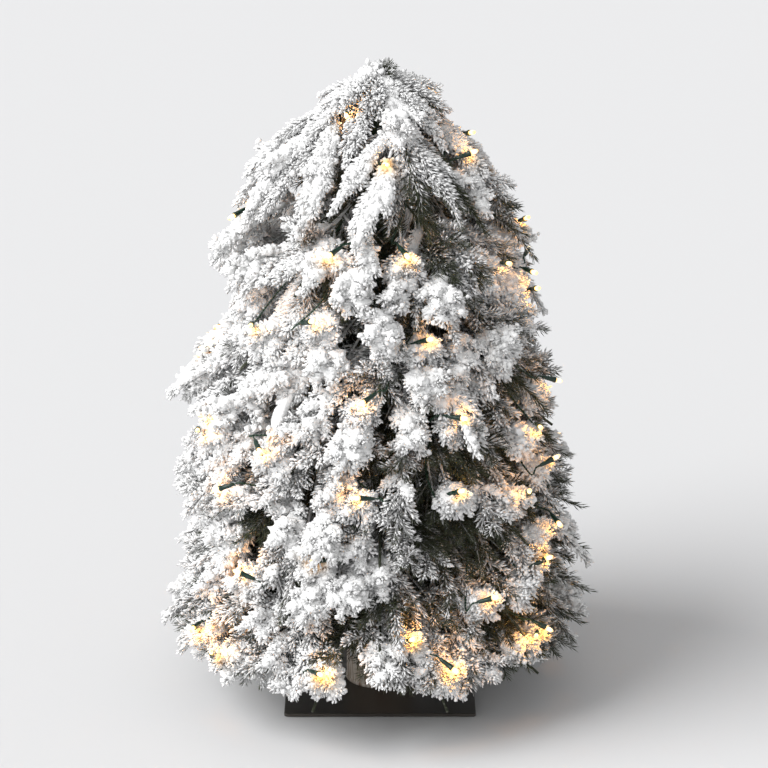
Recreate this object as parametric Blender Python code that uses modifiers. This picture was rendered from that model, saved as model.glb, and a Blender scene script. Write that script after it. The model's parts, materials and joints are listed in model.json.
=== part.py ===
"""Artificial tabletop tree: flocked boughs in seven tiers on a steel pole, a wood-look trunk and a
square steel base plate. Metres, +Z up. The origin is the centre of the underside of the felt pad, on the
surface that the tree stands on."""

import collections
import math

import bmesh
import bpy

# Driving dimensions
GAP = 0.0003  # clearance between neighbouring pieces

PLATE_SIDE = 0.267
PLATE_THICK = 0.005
PLATE_CORNER = 0.004
PLATE_EDGE = 0.0006
PAD_THICK = 0.0012
PAD_INSET = 0.006

SCREW_R = 0.004
SCREW_HEAD_R = 0.008
SCREW_HEAD_DEEP = 0.004
SCREW_LENGTH = 0.026
SCREW_POINT = 0.0008  # chamfer at its end
SCREW_SOCKET_R = 0.0028
SCREW_SOCKET_DEEP = 0.0024

POLE_R = 0.011
POLE_WALL = 0.0015
POLE_TOP = 0.852
PLUG_LENGTH = 0.030

LOG_R = 0.0475
LOG_RIM = 0.0015  # how far the foot of the log stands proud
LOG_RIM_HIGH = 0.004
LOG_TOP = 0.122
LOG_CHAMFER = 0.003

SLEEVE_R = 0.014
COLLAR_FLANGE = 0.0022
BAR_R = 0.003
BAR_LENGTH = 0.008

CAP_RIM = 0.003
CAP_SPIGOT = 0.012
STEM_R = 0.002

LEADER_TOP = 0.903
LEADER_R = 0.024
# Outline of the leader's tuft from its top down: share of its height, share of its radius
LEADER_SHAPE = ((0.90, 0.35), (0.62, 0.80), (0.35, 1.00), (0.10, 0.60))

WIRE_R = 0.0011
WIRE_START = 60  # heading near which the light wire starts, degrees
WIRE_WIND = 240  # degrees round the pole from one tier to the next
WIRE_DIP = 0.6  # the smaller, the sooner the wire lies against the pole between two tiers

BOUGH_FLATNESS = 0.46  # thickness over width of a spray

# The tiers, lowest first. Droop is the stem's mean slope in degrees: it leaves the collar at droop - arch
# and ends at droop + arch. Reach is the radius of the tips, and heading that of the first bough, in degrees.
Tier = collections.namedtuple("Tier", "height count reach droop arch half_width heading")
TIERS = (
    Tier(0.176, 8, 0.262, 31, 10, 0.046, 22.5),
    Tier(0.288, 8, 0.302, 29, 10, 0.049, 0),
    Tier(0.400, 7, 0.282, 30, 10, 0.052, -90),
    Tier(0.512, 6, 0.262, 31, 11, 0.052, -60),
    Tier(0.624, 6, 0.238, 33, 12, 0.050, -90),
    Tier(0.736, 5, 0.208, 36, 14, 0.046, -54),
    Tier(0.842, 4, 0.160, 40, 30, 0.038, -70),
)

# Worked out from them
PLATE_LOW = PAD_THICK + GAP
PLATE_TOP = PLATE_LOW + PLATE_THICK
STAND_ON = PLATE_TOP + GAP
POLE_BORE = POLE_R - POLE_WALL
HINGE_R = SLEEVE_R + GAP + BAR_R
GROOVE_HALF = BAR_R + GAP
COLLAR_HALF = GROOVE_HALF + COLLAR_FLANGE
CAP_BORE = STEM_R + GAP

# Facets
ROUND_STEPS = 24
COLLAR_STEPS = 16
LOG_STEPS = 32
SPRAY_SIDES = 8
BAR_SIDES = 8
CURVE_SIDES = 2  # bevel resolution of a wire
WIRE_STEPS = 9  # stretches of the wire between two tiers
CREASE = math.radians(35)  # edges sharper than this stay crisp

# How the half width of a bough grows from its bare stem to the spray and narrows to the tip
BOUGH_SHAPE = (
    (0.00, 0.0),
    (0.13, 0.0),
    (0.20, 0.36),
    (0.38, 0.84),
    (0.60, 1.00),
    (0.80, 0.84),
    (0.93, 0.52),
    (1.00, 0.14),
)


def clear_scene():
    for obj in list(bpy.data.objects):
        bpy.data.objects.remove(obj, do_unlink=True)


def new_collection(name):
    collection = bpy.data.collections.new(name)
    bpy.context.scene.collection.children.link(collection)
    return collection


def material(name, colour, roughness, metallic=0.0):
    made = bpy.data.materials.new(name)
    made.use_nodes = True
    shader = made.node_tree.nodes["Principled BSDF"]
    shader.inputs["Base Color"].default_value = (*colour, 1.0)
    shader.inputs["Roughness"].default_value = roughness
    shader.inputs["Metallic"].default_value = metallic
    made.diffuse_color = (*colour, 1.0)
    return made


def add_object(name, data, collection, look=None):
    obj = bpy.data.objects.new(name, data)
    collection.objects.link(obj)
    if look and not data.materials:
        data.materials.append(look)
    return obj


def as_helper(obj):
    obj.hide_render = True
    obj.display_type = "WIRE"
    return obj


def mesh_from(name, shape):
    mesh = bpy.data.meshes.new(name)
    shape.to_mesh(mesh)
    shape.free()
    return mesh


def turned(name, profile, steps, collection, look=None):
    """A turned piece. The profile is a closed loop of (radius, height) that runs down its outer side."""
    shape = bmesh.new()
    points = [shape.verts.new((radius, 0, height)) for radius, height in profile]
    for first, second in zip(points, points[1:] + points[:1]):
        on_axis = first.co.x == 0 and second.co.x == 0
        if not on_axis:
            shape.edges.new((first, second))
    obj = add_object(name, mesh_from(name, shape), collection, look)
    screw = obj.modifiers.new("Turn", "SCREW")
    screw.axis = "Z"
    screw.angle = math.tau
    screw.steps = steps
    screw.render_steps = steps
    screw.use_merge_vertices = True
    screw.merge_threshold = 0.00001
    screw.use_smooth_shade = False
    return obj


def smooth_rounds():
    """A modifier's node group that shades faces smooth and keeps the sharper edges crisp."""
    group = bpy.data.node_groups.new("smooth_rounds", "GeometryNodeTree")
    group.is_modifier = True
    for direction in ("INPUT", "OUTPUT"):
        group.interface.new_socket("Geometry", in_out=direction, socket_type="NodeSocketGeometry")
    source = group.nodes.new("NodeGroupInput")
    result = group.nodes.new("NodeGroupOutput")
    angle = group.nodes.new("GeometryNodeInputMeshEdgeAngle")
    blunt = group.nodes.new("FunctionNodeCompare")
    blunt.operation = "LESS_THAN"
    blunt.inputs["B"].default_value = CREASE
    faces = group.nodes.new("GeometryNodeSetShadeSmooth")
    edges = group.nodes.new("GeometryNodeSetShadeSmooth")
    edges.domain = "EDGE"
    group.links.new(source.outputs[0], faces.inputs["Geometry"])
    group.links.new(faces.outputs[0], edges.inputs["Geometry"])
    group.links.new(angle.outputs["Unsigned Angle"], blunt.inputs["A"])
    group.links.new(blunt.outputs["Result"], edges.inputs["Shade Smooth"])
    group.links.new(edges.outputs[0], result.inputs[0])
    return group


def shade_rounds(parts):
    """Round faces are shaded smooth, as the last modifier of each piece that is a mesh."""
    group = smooth_rounds()
    for obj in parts.objects:
        if obj.type == "MESH":
            obj.modifiers.new("Shading", "NODES").node_group = group


def cut(obj, cutter):
    boolean = obj.modifiers.new("Cut", "BOOLEAN")
    boolean.operation = "DIFFERENCE"
    boolean.solver = "EXACT"
    boolean.object = as_helper(cutter)


def slab(name, side, thick, low, collection, look):
    shape = bmesh.new()
    bmesh.ops.create_cube(shape, size=1)
    bmesh.ops.scale(shape, verts=shape.verts, vec=(side, side, thick))
    upright = [edge for edge in shape.edges if edge.verts[0].co.z * edge.verts[1].co.z < 0]
    bmesh.ops.bevel(shape, geom=upright, offset=PLATE_CORNER, segments=3, profile=0.5, affect="EDGES")
    obj = add_object(name, mesh_from(name, shape), collection, look)
    obj.location.z = low + thick / 2
    return obj


def make_pad(parts, look):
    return slab("base_pad", PLATE_SIDE - 2 * PAD_INSET, PAD_THICK, 0, parts, look)


def make_plate(parts, helpers, look):
    plate = slab("base_plate", PLATE_SIDE, PLATE_THICK, PLATE_LOW, parts, look)
    edge = plate.modifiers.new("Edge", "BEVEL")
    edge.width = PLATE_EDGE
    edge.segments = 1
    edge.angle_limit = math.radians(60)
    past = PLATE_THICK / 4
    hole = [
        (0, PLATE_TOP + past),
        (SCREW_R + GAP, PLATE_TOP + past),
        (SCREW_R + GAP, PLATE_LOW + SCREW_HEAD_DEEP + GAP),
        (SCREW_HEAD_R + GAP, PLATE_LOW + GAP),
        (SCREW_HEAD_R + GAP, PLATE_LOW - past),
        (0, PLATE_LOW - past),
    ]
    cutter = turned("plate_hole", hole, ROUND_STEPS, helpers)
    cut(plate, cutter)
    return plate


def make_screw(parts, helpers, look):
    low = PLATE_LOW + GAP
    profile = [
        (0, low + SCREW_LENGTH),
        (SCREW_R - SCREW_POINT, low + SCREW_LENGTH),
        (SCREW_R, low + SCREW_LENGTH - SCREW_POINT),
        (SCREW_R, low + SCREW_HEAD_DEEP),
        (SCREW_HEAD_R, low),
        (0, low),
    ]
    screw = turned("base_screw", profile, ROUND_STEPS, parts, look)
    shape = bmesh.new()
    bmesh.ops.create_cone(
        shape,
        cap_ends=True,
        segments=6,
        radius1=SCREW_SOCKET_R,
        radius2=SCREW_SOCKET_R,
        depth=2 * SCREW_SOCKET_DEEP,
    )
    socket = add_object("screw_socket", mesh_from("screw_socket", shape), helpers)
    socket.location.z = low
    cut(screw, socket)
    return screw


def make_plug(parts, look):
    outer = POLE_BORE - GAP
    bore = SCREW_R + GAP
    high = STAND_ON + PLUG_LENGTH
    profile = [(bore, high), (outer, high), (outer, STAND_ON), (bore, STAND_ON)]
    return turned("pole_plug", profile, ROUND_STEPS, parts, look)


def make_pole(parts, look):
    profile = [(POLE_BORE, POLE_TOP), (POLE_R, POLE_TOP), (POLE_R, STAND_ON), (POLE_BORE, STAND_ON)]
    return turned("centre_pole", profile, ROUND_STEPS, parts, look)


def make_cap(parts, look):
    spigot = POLE_BORE - GAP
    low = POLE_TOP + GAP
    profile = [
        (CAP_BORE, low + CAP_RIM),
        (POLE_R, low + CAP_RIM),
        (POLE_R, low),
        (spigot, low),
        (spigot, low - CAP_SPIGOT),
        (CAP_BORE, low - CAP_SPIGOT),
    ]
    return turned("pole_cap", profile, ROUND_STEPS, parts, look)


def make_log(parts, look):
    bore = POLE_R + GAP
    rim = LOG_R + LOG_RIM
    profile = [
        (bore, LOG_TOP),
        (LOG_R - LOG_CHAMFER, LOG_TOP),
        (LOG_R, LOG_TOP - LOG_CHAMFER),
        (LOG_R, STAND_ON + LOG_RIM_HIGH + LOG_RIM),
        (rim, STAND_ON + LOG_RIM_HIGH),
        (rim, STAND_ON),
        (bore, STAND_ON),
    ]
    return turned("trunk_log", profile, LOG_STEPS, parts, look)


def make_collar(number, tier, parts, look):
    """A spool on the pole: the cross bars of the tier's boughs lie in its groove, between the flanges."""
    bore = POLE_R + GAP
    profile = [
        (bore, COLLAR_HALF),
        (HINGE_R, COLLAR_HALF),
        (HINGE_R, GROOVE_HALF),
        (SLEEVE_R, GROOVE_HALF),
        (SLEEVE_R, -GROOVE_HALF),
        (HINGE_R, -GROOVE_HALF),
        (HINGE_R, -COLLAR_HALF),
        (bore, -COLLAR_HALF),
    ]
    collar = turned(f"tier_{number}_collar", profile, COLLAR_STEPS, parts, look)
    collar.location.z = tier.height
    return collar


def bough_centre_line(tier):
    """Points of the stem, (outward, up) from the hinge: an arc that starts flatter than it ends."""
    start = math.radians(tier.droop - tier.arch)
    bend = math.radians(2 * tier.arch)
    across = (math.sin(start + bend) - math.sin(start)) / bend
    length = (tier.reach - HINGE_R) / across
    line = []
    for share, _ in BOUGH_SHAPE:
        turned_by = start + bend * share
        outward = length * (math.sin(turned_by) - math.sin(start)) / bend
        down = length * (math.cos(start) - math.cos(turned_by)) / bend
        line.append((outward, -down))
    return line


def spray_section(helpers):
    """The flat oval that a bough's outline follows, one unit wide each side."""
    data = bpy.data.curves.new("spray_section", "CURVE")
    data.dimensions = "2D"
    spline = data.splines.new("POLY")
    spline.points.add(SPRAY_SIDES - 1)
    for index, point in enumerate(spline.points):
        angle = math.tau * index / SPRAY_SIDES
        point.co = (math.cos(angle), BOUGH_FLATNESS * math.sin(angle), 0, 1)
    spline.use_cyclic_u = True
    return as_helper(add_object("spray_section", data, helpers))


def swept_spray(name, line, half_widths, section, helpers):
    """A closed solid along the line, oval across, as a plain mesh."""
    data = bpy.data.curves.new(name, "CURVE")
    data.dimensions = "3D"
    data.twist_mode = "Z_UP"
    data.bevel_mode = "OBJECT"
    data.bevel_object = section
    data.use_fill_caps = True
    spline = data.splines.new("POLY")
    spline.points.add(len(line) - 1)
    for point, place, width in zip(spline.points, line, half_widths):
        point.co = (*place, 1)
        point.radius = width
    curve = add_object(name, data, helpers)
    graph = bpy.context.evaluated_depsgraph_get()
    mesh = bpy.data.meshes.new_from_object(curve.evaluated_get(graph))
    bpy.data.objects.remove(curve, do_unlink=True)
    shape = bmesh.new()
    shape.from_mesh(mesh)
    bmesh.ops.remove_doubles(shape, verts=shape.verts, dist=0.000001)
    bmesh.ops.recalc_face_normals(shape, faces=shape.faces)
    shape.to_mesh(mesh)
    shape.free()
    return mesh


def cross_bar(helpers):
    """The bar across the root of a bough, along the hinge axis."""
    shape = bmesh.new()
    bmesh.ops.create_cone(
        shape,
        cap_ends=True,
        segments=BAR_SIDES,
        radius1=BAR_R,
        radius2=BAR_R,
        depth=BAR_LENGTH,
    )
    bar = add_object("cross_bar", mesh_from("cross_bar", shape), helpers)
    bar.rotation_euler.x = math.pi / 2
    return as_helper(bar)


def bough_mesh(number, tier, section, bar, helpers):
    """One bough of the tier: cross bar, bare stem and spray, joined. Its origin is on the hinge."""
    name = f"tier_{number}_bough"
    line = [(outward, 0, up) for outward, up in bough_centre_line(tier)]
    half_widths = [STEM_R + (tier.half_width - STEM_R) * share for _, share in BOUGH_SHAPE]
    spray = add_object(name, swept_spray(name, line, half_widths, section, helpers), helpers)
    union = spray.modifiers.new("Join", "BOOLEAN")
    union.operation = "UNION"
    union.solver = "EXACT"
    union.object = bar
    bpy.context.view_layer.update()
    graph = bpy.context.evaluated_depsgraph_get()
    mesh = bpy.data.meshes.new_from_object(spray.evaluated_get(graph))
    bpy.data.objects.remove(spray, do_unlink=True)
    return mesh


def heading_of(tier, index):
    return math.radians(tier.heading + 360 * index / tier.count)


def make_boughs(parts, helpers, look):
    section = spray_section(helpers)
    bar = cross_bar(helpers)
    for number, tier in enumerate(TIERS, start=1):
        mesh = bough_mesh(number, tier, section, bar, helpers)
        mesh.materials.clear()
        for index in range(tier.count):
            heading = heading_of(tier, index)
            bough = add_object(f"tier_{number}_bough_{index + 1}", mesh, parts, look)
            bough.location = (HINGE_R * math.cos(heading), HINGE_R * math.sin(heading), tier.height)
            bough.rotation_euler.z = heading


def make_leader(parts, look):
    """The tuft on top: a bare stem down through the cap, then a closed spindle of foliage."""
    tuft_low = POLE_TOP + GAP + CAP_RIM + GAP
    tuft_high = LEADER_TOP - tuft_low
    stem_low = POLE_TOP - CAP_SPIGOT
    tuft = [(LEADER_R * wide, tuft_low + tuft_high * high) for high, wide in LEADER_SHAPE]
    profile = [(0, LEADER_TOP), *tuft, (STEM_R, tuft_low), (STEM_R, stem_low), (0, stem_low)]
    return turned("top_leader", profile, COLLAR_STEPS, parts, look)


def wire_headings():
    """Where the light wire passes each collar: midway between two boughs, about two thirds of a turn on."""
    headings = []
    wanted = WIRE_START
    for tier in TIERS:
        pitch = 360 / tier.count
        first_gap = tier.heading + pitch / 2
        passes = first_gap + pitch * round((wanted - first_gap) / pitch)
        headings.append(passes)
        wanted = passes + WIRE_WIND
    return headings


def wire_line():
    """Points up the pole: out past each collar's flanges, and close to the pole between them."""
    past_collar = HINGE_R + 2 * GAP + WIRE_R
    on_pole = POLE_R + 2 * GAP + WIRE_R
    straight = COLLAR_HALF + 4 * WIRE_R
    line = []
    headings = wire_headings()
    for tier, heading in zip(TIERS, headings):
        for height in (tier.height - straight, tier.height, tier.height + straight):
            line.append((past_collar, math.radians(heading), height))
    whole = []
    for start, end in zip(line, line[1:]):
        whole.append(start)
        if end[2] - start[2] < 2 * straight:
            continue
        for step in range(1, WIRE_STEPS):
            share = step / WIRE_STEPS
            dip = math.sin(math.pi * share) ** WIRE_DIP
            radius = past_collar + (on_pole - past_collar) * dip
            turn = start[1] + (end[1] - start[1]) * share
            whole.append((radius, turn, start[2] + (end[2] - start[2]) * share))
    whole.append(line[-1])
    return [(radius * math.cos(turn), radius * math.sin(turn), height) for radius, turn, height in whole]


def make_wire(parts, look):
    data = bpy.data.curves.new("light_wire", "CURVE")
    data.dimensions = "3D"
    data.bevel_depth = WIRE_R
    data.bevel_resolution = CURVE_SIDES
    data.use_fill_caps = True
    line = wire_line()
    spline = data.splines.new("POLY")
    spline.points.add(len(line) - 1)
    for point, place in zip(spline.points, line):
        point.co = (*place, 1)
    return add_object("light_wire", data, parts, look)


def main():
    clear_scene()
    parts = new_collection("tabletop_tree")
    helpers = new_collection("cutters_and_guides")
    dark_steel = material("dark_steel", (0.055, 0.048, 0.042), 0.32, 0.9)
    zinc = material("zinc_steel", (0.52, 0.53, 0.54), 0.38, 1.0)
    felt = material("black_felt", (0.02, 0.02, 0.02), 0.95)
    green_paint = material("green_paint", (0.03, 0.07, 0.035), 0.5)
    wood = material("washed_wood", (0.50, 0.44, 0.38), 0.8)
    flock = material("flocked_foliage", (0.82, 0.84, 0.85), 0.95)
    wire_green = material("green_wire", (0.01, 0.05, 0.02), 0.45)
    make_pad(parts, felt)
    make_plate(parts, helpers, dark_steel)
    make_screw(parts, helpers, zinc)
    make_plug(parts, zinc)
    make_pole(parts, green_paint)
    make_cap(parts, green_paint)
    make_log(parts, wood)
    for number, tier in enumerate(TIERS, start=1):
        make_collar(number, tier, parts, green_paint)
    make_boughs(parts, helpers, flock)
    make_leader(parts, flock)
    make_wire(parts, wire_green)
    shade_rounds(parts)


main()
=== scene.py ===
"""Looks of the artificial tabletop tree: flocked sprays on every bough, a light string, the wood-look
trunk, the steel base plate, and a plain studio around them."""

import collections
import itertools
import json
from math import atan2, ceil, cos, pi, radians, sin, sqrt, tau

import bpy
import numpy as np
from numpy.linalg import lstsq, norm
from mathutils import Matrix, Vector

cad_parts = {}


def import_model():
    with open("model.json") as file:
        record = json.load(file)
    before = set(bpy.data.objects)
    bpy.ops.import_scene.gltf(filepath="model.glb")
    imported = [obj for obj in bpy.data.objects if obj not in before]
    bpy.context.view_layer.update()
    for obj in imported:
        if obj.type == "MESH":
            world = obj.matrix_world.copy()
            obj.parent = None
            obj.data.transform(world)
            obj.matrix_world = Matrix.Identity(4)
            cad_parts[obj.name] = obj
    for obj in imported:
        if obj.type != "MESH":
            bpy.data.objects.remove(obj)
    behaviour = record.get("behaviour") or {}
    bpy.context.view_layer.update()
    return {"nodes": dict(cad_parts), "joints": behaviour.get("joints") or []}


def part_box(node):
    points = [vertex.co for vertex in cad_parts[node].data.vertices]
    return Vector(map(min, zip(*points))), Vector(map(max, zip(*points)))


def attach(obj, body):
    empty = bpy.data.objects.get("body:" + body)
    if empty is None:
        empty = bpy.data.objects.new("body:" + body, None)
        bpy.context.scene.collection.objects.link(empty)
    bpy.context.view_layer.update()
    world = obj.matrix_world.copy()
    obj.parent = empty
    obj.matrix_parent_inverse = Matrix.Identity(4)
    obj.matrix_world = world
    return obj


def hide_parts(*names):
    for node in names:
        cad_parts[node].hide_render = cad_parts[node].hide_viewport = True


UP = np.array([0.0, 0.0, 1.0])
GOLDEN = pi * (3 - sqrt(5))  # the turn that spreads points evenly round an axis

# Camera, metres, millimetres for the lens
CAMERA_BACK = 4.1
CAMERA_HIGH = 1.801
CAMERA_ASIDE = 0.0055
CAMERA_DOWN = radians(18.3)
CAMERA_LENS = 145.9
FLOOR_HALF = 14.0

# The tree's outer surface, metres: height, radius on the right, radius on the left
OUTLINE = (
    (0.0, 0.22, 0.22), (0.05, 0.252, 0.252), (0.09, 0.268, 0.284), (0.125, 0.276, 0.306),
    (0.18, 0.271, 0.29), (0.25, 0.268, 0.272), (0.3, 0.262, 0.29), (0.36, 0.252, 0.262),
    (0.43, 0.24, 0.276), (0.48, 0.232, 0.236), (0.545, 0.214, 0.206), (0.625, 0.204, 0.234),
    (0.68, 0.19, 0.19), (0.735, 0.164, 0.196), (0.765, 0.14, 0.16), (0.8, 0.112, 0.106),
    (0.837, 0.08, 0.07), (0.87, 0.044, 0.04), (0.9, 0.012, 0.012),
)

# Needles and flock. Lengths are metres and angles degrees. Flock runs from 0, bare, to about 1, caked.
NEEDLE = 0.0158
NEEDLES_PER_METRE = 1450
FEWEST_NEEDLES = 6
NEEDLE_TURNS = np.radians((4, 176, 42, 138, 90, -55, -125, 12, 168, 65, 115))  # 90 is on top
NEEDLE_TILT = 54  # from its twig, at the twig's foot
TILT_AT_TIP = -24
TILT_BUSHY = 9
TILT_ON_TOP = -8
NEEDLE_CURVE = 0.14
BARE_R = 0.00055
FLOCK_R = 0.00080
CAKED_R = 0.00045
UP_FLOCK_AND_SHADE = 0.46  # how much more flock a needle carries that points up; less on those that point down paints shade on the undersides
TIP_FLOCK = 0.14
PATCH_FLOCK = 0.16
PATCH_WAVES = 78.0
MOST_FLOCK = 1.25
SHADE = 10.0  # flock taken off for each metre of depth inside the tree: partly thinner flock there, partly painted shade
SHADE_FROM = 0.018
SHADE_DEPTH = 0.12
CAKED_FROM = 0.92
LUMP_R = 0.0037
LUMP_EVERY = 0.0042
LUMP_FLOCK = 1.1
CAKE_WIDE = 0.0110
CAKE_STEPS = 13
CAKE_SIDES = 10
CAKE_ROUGH = (0.58, 1.34)
CAKE_FLOCK = 1.05
LOWEST = 0.012  # no needle hangs below this
WHITE = (0.83, 0.83, 0.827)

# Sprays: shoots, first and last place of them, size, spread in degrees, needle length, bushiness
SPRAYS = {
    "sprig": (3, 0.03, 0.45, 0.048, 32, 1.15, 0.12),
    "feather": (5, 0.03, 0.70, 0.042, 20, 1.15, 0.15),
    "tongue": (5, 0.04, 0.60, 0.052, 12, 0.95, 0.30),
    "fan": (8, 0.04, 0.88, 0.040, 43, 0.95, 0.12),
    "rosette": (9, 0.50, 0.98, 0.030, 52, 0.90, 0.75),
    "hanging": (12, 0.03, 0.92, 0.056, 38, 0.95, 0.05),
    "bare": (5, 0.03, 0.62, 0.036, 22, 1.15, 0.10),
    "clump": (11, 0.42, 0.99, 0.031, 58, 0.84, 0.90),
}
ROUND_KINDS = ("rosette", "clump")
LOW_KINDS = ("rosette", "fan", "rosette", "sprig", "fan")
HIGH_KINDS = ("tongue", "feather", "tongue", "rosette")
INSETS = {
    # how far inside the outer surface the tips of each kind lie
    "rosette": (0.004, 0.024),
    "tongue": (-0.014, 0.020),
    "sprig": (-0.020, 0.024),
    "feather": (0.002, 0.026),
    "fan": (0.008, 0.030),
}
FLOCKED = {
    # what each kind may carry more or less than its bough
    "rosette": (0.34, 0.34, 0.22),
    "tongue": (0.30, 0.30, 0.16, -0.2),
    "sprig": (0.34, 0.12, -0.34),
    "feather": (0.15, -0.22, -0.34),
    "fan": (-0.10, -0.34, -0.46),
}

# What changes with height: the heights, then the values there
DROOP = ((0.0, 0.5, 0.7, 0.9), (30.0, 32.0, 42.0, 58.0))  # degrees below level
# These add or take flock by side and height. More on the left is painted light from the key; less on the
# right and low on the front is partly thinner flock, partly painted shade.
RIGHT_FLOCK_AND_SHADE = ((0.25, 0.45, 0.70), (-0.07, -0.20, -0.14))
FRONT_FLOCK_AND_SHADE = ((0.08, 0.20, 0.35, 0.70, 0.80), (-0.02, -0.26, 0.13, 0.10, -0.04))
LEFT_PAINTED_LIGHT = 0.15

# Boughs. A spray's place in the fan is across the bough's sector, from -1 to 1, and up in tiers.
TIER_SPACING = 0.112
HIGH_TIER = 6
STEM_R = 0.0019
STEM_KNEE, STEM_END = 0.5, 0.9  # shares of the bough's reach
INNER_PER_BOUGH = 11
INNER_DENSE = 0.45
INNER_ACROSS, INNER_UP = (-0.8, 0.8), (-0.5, 0.6)
INNER_INSET = (0.32, 0.75)  # shares of the outer surface's radius
HIGH_INSET = 0.008  # sprays above HIGH_FROM end this much further inside
HIGH_FROM = 0.74
LOWEST_TIP = 0.096
LOW_FRINGE = 0.12
FRONT_LIFT = 0.016
PEEK = radians(-99)  # between the lowest sprays here the trunk shows
PEEK_WIDE = radians(5)
PEEK_TOP = 0.13
FAN = (
    (0.0, 0.0), (-0.3, -0.36), (0.3, -0.34), (-0.62, 0.02), (0.62, -0.02), (-0.3, 0.4), (0.32, 0.38),
    (-0.9, -0.4), (0.92, -0.38), (0.0, 0.72), (-0.85, 0.38), (0.88, 0.42),
)
TOP_FAN = (
    (0.0, -0.28), (-0.33, -0.02), (0.33, -0.06), (-0.72, -0.32), (0.7, -0.3), (0.02, 0.34),
    (-0.92, 0.06), (0.95, 0.1), (-0.55, 0.4), (0.52, 0.42),
)

# Sprays with a place of their own. Headings are degrees: -90 faces the room, and 0 is on its right.
# The flock column falls towards the right: partly bare green needles there, partly painted shade on the side
# away from the key light.
CROWN = (  # heading in degrees, fall below the top, inset from the outline, flock, kind
    (-172, 0.152, -0.004, 0.9, "tongue"), (-152, 0.128, 0.002, 0.86, "tongue"),
    (-166, 0.074, 0.0, 0.86, "tongue"), (-132, 0.05, 0.0, 0.84, "tongue"),
    (-112, 0.106, 0.006, 0.82, "tongue"), (-96, 0.052, 0.006, 0.66, "tongue"),
    (-70, 0.092, -0.004, 1.15, "rosette"), (-52, 0.058, 0.002, 0.66, "tongue"),
    (-40, 0.104, 0.002, 0.84, "tongue"), (-14, 0.08, 0.0, 0.4, "tongue"),
    (-2, 0.128, 0.01, 0.35, "tongue"), (14, 0.05, 0.004, 0.45, "tongue"),
)
CROWN_BACK = 8  # sprays over the far side
CROWN_SHOOTS = 14
CROWN_LAMPS = 0.75  # above here the lamps hang in gaps of this radius:
HOLE = 0.034
HANGING_FAN = (-86, 0.128)  # heading and height of its tip
HANGING_FROM = 0.1  # its bough ends this much higher
BARE_TIPS = (  # heading in degrees, height and radius of sprays whose green tips the flock has left
    (-2, 0.345, 0.262), (-5, 0.272, 0.282), (-3, 0.206, 0.288), (-7, 0.15, 0.296), (-12, 0.112, 0.288),
    (-20, 0.092, 0.284), (-170, 0.098, 0.28), (-158, 0.112, 0.288), (-176, 0.345, 0.272),
    (16, 0.3, 0.272), (60, 0.15, 0.284), (118, 0.135, 0.29),
)
CLUMPS = (  # heading in degrees and height of the roundest, whitest clumps
    (-100, 0.651), (-110, 0.55), (-66, 0.635), (-73, 0.523), (-99, 0.45), (-106, 0.322), (-89, 0.608),
    (-99, 0.256), (-110, 0.238), (-148, 0.46), (-40, 0.56), (78, 0.56), (112, 0.4), (60, 0.3),
)

# Lamps, metres and degrees: the height of a row, and the headings of the bulbs in it that face the room
LAMP_ROWS = (
    (0.855, (8,)), (0.84, (-125,)), (0.79, (171, -86, -23)), (0.682, (2, -79, 178, -110)),
    (0.655, (-36,)), (0.628, (-20,)), (0.603, (-112, -17)), (0.576, (-72, -139)), (0.496, (179, -96)),
    (0.47, (-63, -14)), (0.428, (-32, -124, -149)), (0.374, (-97, -23, -65)), (0.352, (-142, -41)),
    (0.288, (-29, -108)), (0.248, (-34, -133)), (0.224, (-57,)), (0.181, (-81,)),
    (0.15, (-37, -146, -43)), (0.134, (-105, -137, -70)),
)
BACK_LAMPS = 36
BACK_HEADINGS = (12, 156)  # degrees: the first, and how far round the others are spread
BACK_STEP = 0.618
BULB_LONG = 0.0125
BULB_R = 0.0030
HUSK_LONG = 0.0212
HUSK = (  # along it, and radius
    (0.0, 0.0014), (0.001, 0.0022), (0.0048, 0.0025), (0.0059, 0.0031), (0.0066, 0.0028),
    (0.0078, 0.0029), (0.0085, 0.0033), (0.0093, 0.003), (0.018, 0.0036), (0.0186, 0.0041),
    (0.0208, 0.0042), (0.0212, 0.0038), (0.0212, 0.0029),
)
STRAND_R = 0.00075
STRAND_PITCH = 0.009
LATHE_SIDES = 12
STRAND_SIDES = 5
LAMP_POWER = 0.085
GLOW_HEIGHTS = (0.15, 0.30)  # from the first to the second of these heights the painted glow round a lamp shrinks and its light weakens
PAINTED_GLOW_REACH = (0.0185, 0.0125)
GLOW_STRENGTH = (1.5, 0.8)
WARM = (1.0, 0.43, 0.09)

# Trunk, metres
TRUNK_RIM = 0.0015
TRUNK_BORE = 0.0118
TRUNK_SIDES = 180
TRUNK_LEVELS = 36
TRUNK_WAVES = (5, 9, 14, 23, 37)  # ripples round it
RIPPLE, CRACK = 0.00030, 0.0016  # how far they rise and cut in


# --- small helpers ---


def unit(vectors):
    length = norm(vectors, axis=-1, keepdims=True)
    return vectors / np.maximum(length, 1e-12)


def across(directions):
    """Two unit vectors at right angles to each direction and to each other."""
    helper = np.where(np.abs(directions[..., 2:3]) < 0.9, UP, np.array([1.0, 0.0, 0.0]))
    first = unit(np.cross(directions, helper))
    return first, np.cross(directions, first)


def across_and_up(directions):
    """The same two vectors, with the second on the upper side."""
    side, over = across(directions)
    return side, np.where(over[..., 2:3] < 0, -over, over)


def turned(one, two, angle):
    """Directions at angles round an axis, from one towards two."""
    return one * np.cos(angle)[:, None] + two * np.sin(angle)[:, None]


def outwards(angle):
    return np.array([cos(angle), sin(angle), 0.0])


def sideways(angle):
    return np.array([-sin(angle), cos(angle), 0.0])


def dipping(flat, down):
    """The direction that lies down radians below flat."""
    return flat * cos(down) - UP * sin(down)


def fill(target, key, values, kind=np.float32):
    target.foreach_set(key, values.astype(kind).ravel())


def new_object(name, data):
    made = bpy.data.objects.new(name, data)
    bpy.context.scene.collection.objects.link(made)
    return made


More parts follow.
